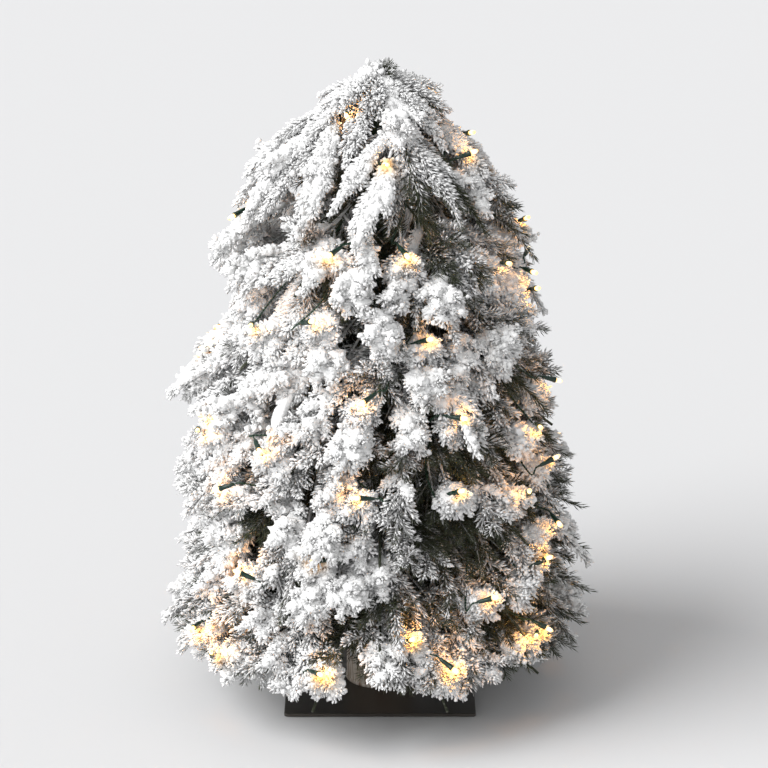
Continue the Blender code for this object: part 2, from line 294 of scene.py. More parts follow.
def tube_faces(steps, sides):
    """Triangles of a closed tube of rings, and their corners' places on its unrolled side."""
    faces, corners = [], []
    for step in range(steps - 1):
        for corner in range(sides):
            after = (corner + 1) % sides
            here, there = step * sides, (step + 1) * sides
            low, high = step / (steps - 1), (step + 1) / (steps - 1)
            left, right = corner / sides, (corner + 1) / sides
            faces.append((here + corner, here + after, there + after))
            corners.append(((low, left), (low, right), (high, right)))
            faces.append((here + corner, there + after, there + corner))
            corners.append(((low, left), (high, right), (high, left)))
    for end, order in ((0, -1), ((steps - 1) * sides, 1)):
        for corner in range(1, sides - 1):
            faces.append((end, end + corner, end + corner + 1)[::order])
            corners.append(((0, 0), (0, 0.02), (0.02, 0)))
    return np.array(faces), np.array(corners)


def cells(count, corners):
    """One small square of the UV map for each of count pieces, which holds the same corners."""
    side = ceil(sqrt(max(count, 1)))
    index = np.arange(count)
    low = np.stack([index % side, index // side], axis=1) / side
    return (low[:, None, None, :] + 0.08 / side + corners[None] * 0.84 / side).reshape(-1, 2)


class Shape:
    """Gathers vertices and triangles, with a flock value on each vertex and a material on each face.

    The trunk keeps the depth of its cracks in that value, and a bulb its brightness."""

    def __init__(self):
        self.points, self.faces, self.flock, self.uvs, self.slots = [], [], [], [], []
        self.count = 0

    def add(self, points, faces, flock, uvs, slot=0):
        self.points.append(points)
        self.faces.append(faces + self.count)
        self.flock.append(flock)
        self.uvs.append(uvs)
        self.slots.append(np.full(len(faces), slot))
        self.count += len(points)

    def add_alike(self, points, faces, corners, flock, slot=0):
        """Pieces that share one set of triangles. Their points are (pieces, points in each, 3)."""
        total, each = points.shape[:2]
        faces = (faces[None] + each * np.arange(total)[:, None, None]).reshape(-1, 3)
        values = np.broadcast_to(flock, (total, each)).ravel()
        self.add(points.reshape(-1, 3), faces, values, cells(total, corners), slot)

    def to_object(self, name, materials, layer_name="OFBake", bulbs=()):
        points = np.concatenate(self.points)
        faces = np.concatenate(self.faces)
        mesh = bpy.data.meshes.new(name)
        mesh.vertices.add(len(points))
        fill(mesh.vertices, "co", points)
        mesh.loops.add(faces.size)
        fill(mesh.loops, "vertex_index", faces, np.int32)
        mesh.polygons.add(len(faces))
        fill(mesh.polygons, "loop_start", np.arange(0, faces.size, 3), np.int32)
        fill(mesh.polygons, "material_index", np.concatenate(self.slots), np.int32)
        fill(mesh.polygons, "use_smooth", np.ones(len(faces)), bool)
        mesh.update(calc_edges=True)
        # On foliage the flock value also carries painted light and shade; on the trunk it marks the cracks,
        # which are painted dark as shade.
        fill(mesh.attributes.new("flock", "FLOAT", "POINT").data, "value", np.concatenate(self.flock))
        # Painted lamp light: a glow value on each vertex that falls off with the distance to the nearest
        # bulb.
        if len(bulbs):
            bulbs = np.array(bulbs)
            gap = norm(points[:, None] - bulbs[None], axis=2)
            gap = (gap / np.interp(bulbs[:, 2], GLOW_HEIGHTS, PAINTED_GLOW_REACH)).min(axis=1)
            fill(mesh.attributes.new("glow", "FLOAT", "POINT").data, "value", np.exp(-(gap**2)))
        if layer_name:
            fill(mesh.uv_layers.new(name=layer_name).data, "uv", np.concatenate(self.uvs))
        for material in materials:
            mesh.materials.append(material)
        return new_object(name, mesh)


# --- foliage ---


def envelope(height, angle):
    """Radius of the tree's outer surface."""
    heights, right, left = zip(*OUTLINE)
    lean = 0.5 + 0.5 * np.cos(angle)
    return lean * np.interp(height, heights, right) + (1 - lean) * np.interp(height, heights, left)


def on_surface(angle, height, out=0.0, fall=0.0):
    """A point that lies out from the tree's surface at a height, and fall below it."""
    return outwards(angle) * (envelope(height, angle) + out) + UP * (height - fall)


def depth(points):
    """How far points lie inside the tree's outer surface."""
    angle = np.arctan2(points[..., 1], points[..., 0])
    return envelope(points[..., 2], angle) - np.hypot(points[..., 0], points[..., 1])


def patches(points):
    """Slow changes, from -1 to 1, in how much flock fell where."""
    x, y, z = (points * PATCH_WAVES).T
    return (np.sin(x + 1.7 * np.sin(z)) + np.sin(y + 1.3 * np.sin(x + 2.0)) + np.sin(z + 1.5 * np.sin(y))) / 3


def shaded(flock, points, patchy=PATCH_FLOCK):
    """Flock at points: less inside the tree, partly as painted shade there, and more or less in patches."""
    return flock - SHADE * np.clip(depth(points) - SHADE_FROM, 0, SHADE_DEPTH) + patchy * patches(points)


class Twigs:
    """Bent twigs: each runs from its start along reach and bends by bend towards its end.

    bare is the share of it with no needles, long the length of its needles, bushy how evenly they stand
    round it, dense how many there are, and worn how much flock its end has lost."""

    KEYS = ("start", "reach", "bend", "flock", "bare", "long", "bushy", "dense", "worn")

    def __init__(self):
        self.rows = []

    def add(self, start, reach, bend, flock, bare=0.0, long=1.0, bushy=0.0, dense=1.0, worn=0.0):
        self.rows.append((start, reach, bend, flock, bare, long, bushy, dense, worn))

    def freeze(self):
        for key, values in zip(self.KEYS, zip(*self.rows)):
            setattr(self, key, np.array(values, float))
        self.length = norm(self.reach + self.bend, axis=1)
        return self

    def at(self, owner, share):
        share = share[:, None]
        return self.start[owner] + self.reach[owner] * share + self.bend[owner] * share**2

    def heading(self, owner, share):
        return unit(self.reach[owner] + 2 * self.bend[owner] * share[:, None])

    def lines(self, steps):
        share = np.linspace(0, 1, steps)[None, :, None]
        return self.start[:, None] + self.reach[:, None] * share + self.bend[:, None] * share**2

    def scatter(self, count, rng):
        """The twig, the number on it and the share along it of count points past each twig's bare part."""
        owner = np.repeat(np.arange(len(count)), count)
        within = np.arange(len(owner)) - (np.cumsum(count) - count)[owner]
        share = self.bare[owner] + (1 - self.bare[owner]) * (within + rng.random(len(owner))) / count[owner]
        return owner, within, share

    def worn_off(self, flock, owner, share, rng):
        """Flock with less of it near worn ends, and a little more or less everywhere."""
        return flock - self.worn[owner] * np.clip(share * 2 - 1, 0, 1) + rng.normal(0, 0.12, len(owner))


def needle_faces():
    """A closed spindle: its foot is point 0, its widest ring points 1 to 3, and its tip point 4."""
    faces, corners = [], []
    ring = 0.7  # where its ring lies on the unrolled side
    for corner in range(3):
        after = (corner + 1) % 3
        left, right = corner / 3, (corner + 1) / 3
        faces += [(0, 1 + after, 1 + corner), (1 + corner, 1 + after, 4)]
        corners.append(((0, (left + right) / 2), (ring, right), (ring, left)))
        corners.append(((ring, left), (ring, right), (1, (left + right) / 2)))
    return np.array(faces), np.array(corners)


def add_needles(shape, twigs, rng):
    """Needles on each twig, mostly to its sides and top, thin and green or fat and white with flock."""
    wanted = twigs.length * (1 - twigs.bare) * twigs.dense * NEEDLES_PER_METRE
    owner, within, share = twigs.scatter(np.maximum(wanted.astype(int), FEWEST_NEEDLES), rng)
    total = len(owner)
    place = twigs.at(owner, share)
    heading = twigs.heading(owner, share)
    side, over = across_and_up(heading)
    comb_turn = NEEDLE_TURNS[within % len(NEEDLE_TURNS)] + rng.normal(0, 0.16, total)
    turn = np.where(twigs.bushy[owner] > rng.random(total), GOLDEN * within, comb_turn)
    outward = turned(side, over, turn)
    tilt = NEEDLE_TILT + TILT_AT_TIP * share**2.5 + TILT_BUSHY * twigs.bushy[owner]
    tilt = tilt + TILT_ON_TOP * np.abs(np.sin(turn))
    tilt = np.radians(tilt + rng.normal(0, 6, total))[:, None]
    direction = heading * np.cos(tilt) + outward * np.sin(tilt)
    taper = np.clip(1.12 - 0.42 * share**3, 0.5, 1.1)
    length = NEEDLE * taper * rng.uniform(0.72, 1.12, total) * twigs.long[owner]
    # Up-facing needles carry more flock and down-facing ones less, which is partly painted shade.
    flock = twigs.flock[owner] + UP_FLOCK_AND_SHADE * outward[:, 2] - 0.02 + TIP_FLOCK * (share - 0.5)
    flock = np.clip(twigs.worn_off(shaded(flock, place), owner, share, rng), 0.0, MOST_FLOCK)
    thick = FLOCK_R * flock + CAKED_R * np.minimum(flock, 1) ** 4
    radius = BARE_R + thick * rng.uniform(0.7, 1.25, total)
    one, two = across(direction)
    twist = rng.uniform(0, tau, total)
    widest = 0.52 + 0.34 * np.clip(flock, 0, 1)
    curve = length * NEEDLE_CURVE
    centre = place + direction * (length * widest)[:, None] + heading * (curve * widest**2)[:, None]
    points = np.empty((total, 5, 3))
    points[:, 0] = place
    for corner in range(3):
        angle = twist + tau * corner / 3
        spread = radius * rng.uniform(0.8, 1.3, total)
        shift = rng.normal(0, 0.0012, (total, 1))
        points[:, 1 + corner] = centre + turned(one, two, angle) * spread[:, None] + direction * shift
    points[:, 4] = place + direction * length[:, None] + heading * curve[:, None]
    points[..., 2] = np.maximum(points[..., 2], LOWEST)
    values = flock[:, None] * np.array([0.9, 0.95, 0.95, 0.95, 1.0])
    shape.add_alike(points, *needle_faces(), values)


def icosahedron():
    """Corners on the unit sphere, triangles, and their corners' places on a flat map."""
    golden = (1 + sqrt(5)) / 2
    corners = [(a, b * golden, 0) for a in (-1, 1) for b in (-1, 1)]
    corners = corners + [(0, a, b) for a, b, _ in corners] + [(b, 0, a) for a, b, _ in corners]
    corners = np.array(corners, float)
    gaps = norm(corners[:, None] - corners[None], axis=2)
    near = (gaps > 0.1) & (gaps < 2.1)
    faces = []
    for a, b, c in itertools.combinations(range(12), 3):
        if near[a, b] and near[b, c] and near[a, c]:
            normal = np.cross(corners[b] - corners[a], corners[c] - corners[a])
            faces.append((a, b, c) if normal @ corners[a] > 0 else (a, c, b))
    corners, faces = unit(corners), np.array(faces)
    around = np.arctan2(corners[:, 1], corners[:, 0]) / tau + 0.5
    return corners, faces, np.stack([around, corners[:, 2] / 2 + 0.5], 1)[faces]


def add_lumps(shape, twigs, rng):
    """Lumps of flock on the upper side of the twigs that carry most of it."""
    count = (twigs.length * (1 - twigs.bare) / LUMP_EVERY).astype(int)
    owner, _, share = twigs.scatter(count, rng)
    place = twigs.at(owner, share)
    caked = twigs.worn_off(shaded(twigs.flock[owner], place), owner, share, rng)
    keep = caked > CAKED_FROM
    owner, share, place, caked = owner[keep], share[keep], place[keep], caked[keep]
    total = len(owner)
    heading = twigs.heading(owner, share)
    side, over = across_and_up(heading)
    turn = rng.normal(pi / 2, 1.1, total)
    outward = turned(side, over, turn)
    size = LUMP_R * rng.uniform(0.65, 1.2, total) * np.clip(caked, 0.8, 1.1)
    away = size * 0.8 + NEEDLE * 0.55 * rng.random(total) * np.clip(caked * 2 - 1.4, 0, 1)
    centre = place + outward * away[:, None] + heading * (away * 0.5)[:, None]
    ball, faces, corners = icosahedron()
    rough = ball[None] * rng.uniform(0.7, 1.3, (total, len(ball), 1))
    points = centre[:, None] + rough * size[:, None, None]
    points[..., 2] = np.maximum(points[..., 2], LOWEST)
    shape.add_alike(points, faces, corners, LUMP_FLOCK)


def add_cakes(shape, twigs, rng):
    """A bumpy layer of flock that joins the needles on top of the whitest twigs."""
    middle = twigs.at(np.arange(len(twigs.length)), np.full(len(twigs.length), 0.6))
    caked = shaded(twigs.flock, middle, 0.10)
    keep = np.flatnonzero((caked > CAKED_FROM) & (twigs.worn < 0.5))
    total = len(keep)
    rings = (total, CAKE_STEPS)
    rise = np.linspace(0, 1, CAKE_STEPS)
    start = twigs.bare[keep][:, None]
    share = (start + (1.02 - start) * rise[None]).ravel()
    owner = np.repeat(keep, CAKE_STEPS)
    line = twigs.at(owner, share).reshape(*rings, 3)
    side, over = across_and_up(twigs.heading(owner, share).reshape(*rings, 3))
    swell = np.sqrt(np.clip(1 - (2 * rise - 1) ** 4, 0, 1)) * (1.08 - 0.35 * rise)
    fat = np.clip((caked[keep] - CAKED_FROM) / 0.3, 0, 1)
    wide = CAKE_WIDE * (0.65 + 0.5 * fat)[:, None] * swell[None] * rng.uniform(0.75, 1.25, rings)
    points = np.empty((*rings, CAKE_SIDES, 3))
    for corner in range(CAKE_SIDES):
        turn = tau * corner / CAKE_SIDES
        rough = rng.uniform(*CAKE_ROUGH, rings)
        aside = side * (wide * rough * cos(turn))[..., None]
        above = over * (wide * rough * (0.58 * sin(turn) + 0.36))[..., None]
        points[:, :, corner] = line + aside + above
    points[..., 2] = np.maximum(points[..., 2], LOWEST)
    points = points.reshape(total, CAKE_STEPS * CAKE_SIDES, 3)
    shape.add_alike(points, *tube_faces(CAKE_STEPS, CAKE_SIDES), CAKE_FLOCK)


def add_tubes(shape, lines, radii, sides, flock, slot):
    """Round wires along lines (n, k, 3), with radii (n, k) and one flock value each."""
    total, steps = lines.shape[:2]
    one, two = across(unit(np.gradient(lines, axis=1)))
    points = np.empty((total, steps, sides, 3))
    for corner in range(sides):
        angle = tau * corner / sides
        offset = one * cos(angle) + two * sin(angle)
        points[:, :, corner] = lines + offset * radii[..., None]
    shape.add_alike(points.reshape(total, -1, 3), *tube_faces(steps, sides), flock[:, None], slot)


class Bough:
    """The middle line of a CAD bough, from its hinge outwards."""

    def __init__(self, node, joint):
        self.hinge = np.array(joint["pos_m"], float)
        self.outward = np.cross(UP, np.array(joint["axis"], float))
        points = np.empty(len(node.data.vertices) * 3)
        node.data.vertices.foreach_get("co", points)
        matrix = np.array(node.matrix_world)
        points = points.reshape(-1, 3) @ matrix[:3, :3].T + matrix[:3, 3] - self.hinge
        out = points @ self.outward
        self.reach = out.max()
        basis = np.stack([out, out**2], axis=1)
        self.slope, self.bend = lstsq(basis, points[:, 2], rcond=None)[0]

    def at(self, out):
        return self.hinge + self.outward * out + UP * (self.slope * out + self.bend * out**2)

    def along(self, out):
        return unit(self.outward + UP * (self.slope + 2 * self.bend * out))

    def stem(self, flock):
        """Two bent lengths of wire along the bough."""
        stem = Twigs()
        knee, last = self.reach * STEM_KNEE, self.reach * STEM_END
        for low, high in ((0.0, knee), (knee, last)):
            start, end = self.at(low), self.at(high)
            course = self.along(low) * (high - low) / (self.along(low) @ self.outward)
            stem.add(start, course, end - start - course, flock * 0.4)
        return stem.freeze()


def grow_spray(plant, start, tip, ahead, kind, flock, rng, needled=0.12, dense=1.0, worn=0.0):
    """A spray from start to tip, arriving there along ahead: its middle twig and its side shoots.

    plant is its twigs and wires, and needled the length of the middle twig's end that bears needles."""
    twigs, wires = plant
    shoots, first, last, size, spread, long, bushy = SPRAYS[kind]
    gap = norm(tip - start)
    knee = tip - ahead * gap * 0.55
    reach, bend = 2 * (knee - start), start - 2 * knee + tip
    bare = max(1 - needled / gap, 0.03)
    wires.add(start, reach, bend, flock * 0.4)
    twigs.add(start, reach, bend, flock, bare, long, bushy, dense, worn)
    for index in range(shoots):
        place = (index + 0.5) / shoots
        share = bare + (1 - bare) * (first + (last - first) * place)
        if kind in ROUND_KINDS:
            turn = GOLDEN * index + rng.uniform(-0.3, 0.3)
        else:
            turn = rng.normal(0.22, 0.24)
            turn = turn if index % 2 else pi - turn
        length = size * (1.14 - 0.42 * place) * rng.uniform(0.85, 1.15)
        lean = radians(rng.normal(spread, 5))
        base = start + reach * share + bend * share**2
        heading = unit(reach + 2 * bend * share)
        side, over = across_and_up(heading)
        aside = side * cos(turn) + over * sin(turn)
        course = heading * cos(lean) + aside * sin(lean)
        curl = (heading * 0.22 - course * 0.10 - UP * rng.uniform(0.0, 0.10)) * length
        level = flock - 0.8 * worn * place + rng.normal(0, 0.06)
        twigs.add(base, course * length, curl, level, 0.06, long, 0.35, dense, worn * 0.5)


def droop(height):
    """How far below level the sprays' tips point at a height, in degrees."""
    return np.interp(height, *DROOP)


def flock_and_painted_light(angle, height):
    """How much more flock a spray carries here than its bough: more on the left as painted light, less on the
    right and low on the front partly as painted shade.
    """
    left, right, front = max(-cos(angle), 0.0), max(cos(angle), 0.0), max(-sin(angle), 0.0)
    level = LEFT_PAINTED_LIGHT * left + right * np.interp(height, *RIGHT_FLOCK_AND_SHADE)
    return level + front * np.interp(height, *FRONT_FLOCK_AND_SHADE)


Asked = collections.namedtuple("Asked", "lamps bare_tips clumps hanging")


def grow_fan(plant, bough, sector, flock, rng, fan, kinds, lamps):
    """Sprays that fan out to the tree's surface, and darker ones inside."""
    heading = atan2(bough.outward[1], bough.outward[0])
    end_height = bough.at(bough.reach)[2]
    spots = [(u, v, True) for u, v in fan]
    spots += [(rng.uniform(*INNER_ACROSS), rng.uniform(*INNER_UP), False) for _ in range(INNER_PER_BOUGH)]
    for index, (u, v, surface) in enumerate(spots):
        u = u + rng.normal(0, 0.07)
        v = v + rng.normal(0, 0.08)
        angle = heading + u * sector
        height = end_height + v * TIER_SPACING
        if abs(angle - PEEK) < PEEK_WIDE and height < PEEK_TOP:
            continue
        lowest = LOWEST_TIP + FRONT_LIFT * max(-sin(angle) - 0.9, 0) / 0.1
        height = max(height, lowest + 0.02 * rng.random())
        kind = kinds[(index + rng.integers(0, 2)) % len(kinds)]
        inset = rng.uniform(*INSETS[kind]) + (HIGH_INSET if height > HIGH_FROM else 0.0)
        if not surface:
            inset = envelope(height, angle) * rng.uniform(*INNER_INSET)
        tip = outwards(angle) * max(envelope(height, angle) - inset, 0.02) + UP * height
        if any(lamp.height > CROWN_LAMPS and norm(tip - lamp.middle) < HOLE for lamp in lamps):
            continue
        down = droop(height) - 26 * v + rng.normal(0, 9)
        down = radians(np.clip(down, 5, 80))
        ahead = dipping(outwards(angle + 0.35 * u * sector + rng.normal(0, 0.16)), down)
        share = np.clip(0.62 - 0.28 * abs(u) - 0.10 * abs(v) + rng.normal(0, 0.04), 0.15, 0.9)
        level = flock + rng.normal(0, 0.07)
        if not surface:
            start = bough.at(bough.reach * share * 0.6)
            # Inner sprays carry less flock: partly thinner flock inside, partly painted shade.
            grow_spray(plant, start, tip, ahead, "sprig", level - 0.12, rng, 0.13, INNER_DENSE)
            continue
        level += rng.choice(FLOCKED[kind])
        level += flock_and_painted_light(angle, height)
        exposed = 0.34 + 0.28 * cos(angle) + (0.2 if height < LOW_FRINGE else 0.0)
        worn = rng.uniform(0.8, 1.3) if rng.random() < exposed else 0.0
        start = bough.at(bough.reach * share)
        grow_spray(plant, start, tip, ahead, kind, level, rng, rng.uniform(0.125, 0.165), 1.0, worn)


def grow_bough(bough, sector, flock, rng, fan, kinds, asked):
    """Every twig of a bough: its fan, and the sprays asked for in places of their own."""
    plant = twigs, wires = Twigs(), Twigs()
    grow_fan(plant, bough, sector, flock, rng, fan, kinds, asked.lamps)
    middle, outer = bough.at(bough.reach * 0.5), bough.at(bough.reach * 0.6)
    for lamp in asked.lamps:
        if lamp.height > CROWN_LAMPS:
            continue
        tip = on_surface(lamp.angle, lamp.height, -0.018, 0.024)
        ahead = dipping(outwards(lamp.angle), radians(droop(lamp.height)))
        grow_spray(plant, middle, tip, ahead, "rosette", flock + 0.3, rng, 0.05)
    # The hanging fan's low flock is partly painted shade, as it hangs under the boughs.
    for angle, height in asked.hanging:
        tip, ahead = on_surface(angle, height, -0.020), unit(outwards(angle) * 0.25 - UP)
        grow_spray(plant, outer, tip, ahead, "hanging", 0.42, rng, 0.14)
    for angle, height, radius in asked.bare_tips:
        flat = outwards(angle)
        ahead = unit(flat - UP * rng.uniform(0.30, 0.60))
        grow_spray(plant, outer, flat * radius + UP * height, ahead, "bare", 0.62, rng, 0.12, 0.6, 1.1)
    for angle, height in asked.clumps:
        tip, ahead = on_surface(angle, height, 0.006, 0.020), dipping(outwards(angle), radians(droop(height)))
        grow_spray(plant, outer, tip, ahead, "clump", 1.2, rng, 0.06)
    return twigs.freeze(), wires.freeze()


def grow_crown(top, rng):
    """The leader: sprays that hang from the pole's top, and short shoots above them."""
    plant = twigs, wires = Twigs(), Twigs()
    sprays = list(CROWN)
    for k in range(CROWN_BACK):
        sprays.append((25 + 150 * (k + 0.5) / CROWN_BACK, 0.055 + 0.045 * (k % 3), 0.008, 0.85, "tongue"))
    for degrees, fall, inset, level, kind in sprays:
        angle = radians(degrees)
        height = top - fall + rng.normal(0, 0.004)
        flat = outwards(angle)
        start, tip = flat * 0.003 + UP * (top - 0.024), on_surface(angle, height, -inset)
        ahead = dipping(flat, radians(rng.normal(45, 4)))
        grow_spray(plant, start, tip, ahead, kind, level, rng, 0.13)
    for index in range(CROWN_SHOOTS):
        angle = GOLDEN * index + 0.4
        lean = radians(rng.uniform(30, 100))
        flat = outwards(angle)
        course = (flat * sin(lean) + UP * cos(lean)) * rng.uniform(0.016, 0.024)
        start = UP * (top - 0.019) + flat * 0.003
        # Less flock towards the right: partly bare green shoots, partly painted shade.
        twigs.add(start, course, -UP * 0.005, 0.58 - 0.80 * cos(angle - 0.4), 0.05, 0.72, 0.6)
    return twigs.freeze(), wires.freeze()


def make_foliage(name, plant, stem, looks, rng, bulbs=()):
    """One mesh of needles, flock and twigs in the first look, and of wires in the second."""
    twigs, wires = plant
    shape = Shape()
    add_needles(shape, twigs, rng)
    add_lumps(shape, twigs, rng)
    add_cakes(shape, twigs, rng)
    thick = 0.0011 + 0.0016 * np.clip(twigs.flock, 0, 1)
    add_tubes(shape, twigs.lines(5), np.linspace(1.0, 0.5, 5)[None] * thick[:, None], 4, twigs.flock * 0.8, 0)
    lines = wires.lines(7)
    radii = np.linspace(0.0014, 0.0009, 7)[None] * np.ones((len(lines), 1))
    add_tubes(shape, lines, radii, 5, wires.flock * 0.5, 1)
    if stem:
        lines = stem.lines(12)
        add_tubes(shape, lines, np.full(lines.shape[:2], STEM_R), 8, stem.flock * 0.5, 1)
    return shape.to_object(name, looks, bulbs=bulbs)


# --- trunk ---


def make_trunk(box, look, rng):
    """The wood-look trunk, with cracks and ripples along its grain, a worn foot rim and an open top."""
    (low_x, _, low), (high_x, _, high) = box
    outer = (high_x - low_x) / 2 - TRUNK_RIM
    profile = [(outer + TRUNK_RIM, low), (outer + TRUNK_RIM, low + 0.0036), (outer + 0.0003, low + 0.0050)]
    profile += [(outer, z) for z in np.linspace(low + 0.007, high - 0.004, TRUNK_LEVELS)]
    profile += [(outer - 0.0010, high - 0.0012), (outer - 0.0034, high)]
    profile += [(r, high) for r in np.linspace(outer - 0.006, TRUNK_BORE, 8)]
    profile += [(TRUNK_BORE, low + 0.02), (TRUNK_BORE, low)]
    radii, heights = np.array(profile).T
    turn = tau * np.arange(TRUNK_SIDES) / TRUNK_SIDES
    ripple = np.zeros((len(profile), TRUNK_SIDES))
    for n in TRUNK_WAVES:
        phase, along, shift = rng.uniform(0, tau), rng.uniform(20, 90), rng.uniform(0, tau)
        sway = 0.7 * np.sin(along * heights + shift)[:, None]
        ripple += np.sin(n * turn[None] + phase + sway) / sqrt(n)
    cracks = np.clip(ripple - 1.0, 0, 1)
    side = ((heights > low + 0.004) & (heights < high - 0.0005) & (radii > TRUNK_BORE + 0.001))[:, None]
    raised = (RIPPLE * ripple - CRACK * cracks) * side
    grown = radii[:, None] + np.minimum(raised, 0.0008)
    points = np.stack([grown * np.cos(turn), grown * np.sin(turn), heights[:, None] + 0 * grown], axis=2)
    here = np.arange(grown.size).reshape(grown.shape)
    after, above = np.roll(here, -1, axis=1), np.roll(here, -1, axis=0)
    across_it = np.roll(above, -1, axis=1)
    faces = np.stack([here, after, across_it, here, across_it, above], axis=2).reshape(-1, 3)
    shape = Shape()
    # The crack mask goes out as the flock value, which the wood material darkens as painted shade.
    shape.add(points.reshape(-1, 3), faces, (cracks * side).ravel(), None)
    return shape.to_object("trunk_wood", [look], None)


# --- lamps ---


Lamp = collections.namedtuple("Lamp", "angle height middle aim")


def place_lamps(rng):
    """Every bulb: the rows above, then a spiral over the far side."""
    places = [(radians(angle), height) for height, row in LAMP_ROWS for angle in row]
    for index in range(BACK_LAMPS):
        angle = radians(BACK_HEADINGS[0] + BACK_HEADINGS[1] * ((index * BACK_STEP) % 1.0))
        places.append((angle, 0.11 + 0.72 * ((index + 0.5) / BACK_LAMPS) ** 1.15))
    for angle, height in places:
        outward = outwards(angle)
        aim = outward * rng.uniform(0.35, 0.9)
        aim = aim + sideways(angle) * rng.choice((-1, 1)) * rng.uniform(0.3, 0.9)
        aim = unit(aim + UP * rng.normal(0.08, 0.35))
        out = envelope(height, angle) + rng.uniform(0.002, 0.010) + 0.009 * abs(cos(angle))
        yield Lamp(angle, height, outward * out + UP * height, aim)


def add_lathe(shape, origin, axis, profile, values):
    """A turned piece along axis from origin, closed at both ends."""
    one, two = (row[0] for row in across(axis[None]))
    along, radii = np.array(profile).T
    turn = tau * np.arange(LATHE_SIDES) / LATHE_SIDES
    points = origin + axis * along[:, None, None] + turned(one, two, turn)[None] * radii[:, None, None]
    values = np.repeat(values, LATHE_SIDES)
    shape.add_alike(points.reshape(1, -1, 3), *tube_faces(len(profile), LATHE_SIDES), values)


def smooth_path(knots, gap):
    """Points every gap along a smooth curve through the knots (Catmull-Rom)."""
    knots = np.array([2 * knots[0] - knots[1], *knots, 2 * knots[-1] - knots[-2]])
    parts = []
    for a, b, c, d in zip(knots, knots[1:], knots[2:], knots[3:]):
        steps = max(int(norm(c - b) / gap), 2)
        t = np.linspace(0, 1, steps, endpoint=False)[:, None]
        curve = 2 * b + (c - a) * t + (2 * a - 5 * b + 4 * c - d) * t**2
        parts.append(0.5 * (curve + (3 * b - a - 3 * c + d) * t**3))
    return np.concatenate(parts + [knots[-2][None]])


def carried_frame(path):
    """Two directions across a path that don't spin round it."""
    ahead = unit(np.gradient(path, axis=0))
    one = np.empty_like(path)
    one[0] = across(ahead[:1])[0][0]
    for index in range(1, len(path)):
        one[index] = unit(one[index - 1] - ahead[index] * (one[index - 1] @ ahead[index]))
    return one, np.cross(ahead, one)


def add_strand(shape, path, turn):
    """One of the two wires that are twisted together along a path."""
    one, two = carried_frame(path)
    run = np.concatenate([[0], np.cumsum(norm(np.diff(path, axis=0), axis=1))])
    spin = tau * run / STRAND_PITCH + turn
    centre = path + turned(one, two, spin) * STRAND_R * 0.95
    one, two = carried_frame(centre)
    turns = tau * np.arange(STRAND_SIDES) / STRAND_SIDES
    ring = one[:, None] * np.cos(turns)[None, :, None] + two[:, None] * np.sin(turns)[None, :, None]
    points = centre[:, None] + ring * STRAND_R
    shape.add_alike(points.reshape(1, -1, 3), *tube_faces(len(path), STRAND_SIDES), 0.0)


def add_lamp(husks, bulbs, wires, lamp, bough, rng):
    """A lamp on the tree's surface, and its twisted wires back to the bough's stem."""
    aim = lamp.aim
    foot = lamp.middle - aim * (HUSK_LONG + BULB_LONG * 0.5)
    add_lathe(husks, foot, aim, HUSK, np.zeros(len(HUSK)))
    share = np.linspace(0, 1, 9)
    domed = np.sqrt(np.clip(1 - ((share - 0.55) / 0.46) ** 2, 0, 1))
    radii = np.maximum(BULB_R * np.where(share < 0.55, 0.94 + 0.11 * share, domed), 0.0003)
    profile = np.stack([share * BULB_LONG, radii], axis=1)
    bright = np.clip(1.3 - 1.7 * np.abs(share - 0.5), 0, 1)
    add_lathe(bulbs, foot + aim * (HUSK_LONG - 0.0008), aim, profile, bright)
    bend = foot - aim * 0.016 - UP * 0.004
    inner = bough.at(bough.reach * 0.52) - UP * 0.003
    aside = sideways(lamp.angle) * rng.normal(0, 0.012)
    slack = bend * 0.55 + inner * 0.45 + aside - UP * rng.uniform(0.0, 0.012)
    knots = [foot + aim * 0.002, foot - aim * 0.006, bend, slack, inner]
    knots += [bough.at(bough.reach * 0.28) - UP * 0.003, bough.at(0.012) - UP * 0.004]
    path = smooth_path(knots, STRAND_PITCH / 5)
    for turn in (0.0, pi):
        add_strand(wires, path, turn)


def nearest_bough(boughs, angle, height):
    """The bough whose end is nearest to a place on the tree's surface."""
    place = on_surface(angle, height)
    ends = {body: bough.at(bough.reach) + UP * 0.02 for body, bough in boughs.items()}
    return min(ends, key=lambda body: norm(ends[body] - place))


def by_bough(boughs, rows):
    """Rows that start with a heading and a height, gathered by their nearest bough."""
    gathered = collections.defaultdict(list)
    for row in rows:
        gathered[nearest_bough(boughs, row[0], row[1])].append(row)
    return gathered


def in_radians(rows):
    return [(radians(degrees), *rest) for degrees, *rest in rows]


def make_lamps(boughs, names, lamps, looks, rng):
    """Husks, bulbs and wires as three pieces that ride on each bough, and a small light in each bulb."""
    husk_look, bulb_look, wire_look = looks
    for body, places in sorted(lamps.items()):
        husks, bulbs, wires = Shape(), Shape(), Shape()
        for lamp in places:
            add_lamp(husks, bulbs, wires, lamp, boughs[body], rng)
        husk_piece = husks.to_object(f"{names[body]}_husks", [husk_look])
        bulb_piece = bulbs.to_object(f"{names[body]}_bulbs", [bulb_look])
        wire_piece = wires.to_object(f"{names[body]}_wires", [wire_look])
        for piece, slot in (husk_piece, "lamp_husk"), (bulb_piece, "lamp_bulb"), (wire_piece, "green_wire"):
            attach(piece, body)
        bulb_piece.visible_shadow = False
        for index, lamp in enumerate(places):
            data = bpy.data.lights.new(f"{body}_glow_{index}", "SPOT")
            data.spot_size = radians(155)
            data.spot_blend = 0.6
            strength = np.interp(lamp.height, GLOW_HEIGHTS, GLOW_STRENGTH)
            data.energy = LAMP_POWER * strength * (0.7 + 0.6 * rng.random())
            data.color = WARM
            data.shadow_soft_size = 0.004
            light = new_object(data.name, data)
            light.location = lamp.middle
            inward = atan2(-lamp.middle[1], -lamp.middle[0])
            light.rotation_euler = (radians(80), 0, inward - pi / 2)
            light.visible_camera = False
            light.parent = bulb_piece


# --- materials ---


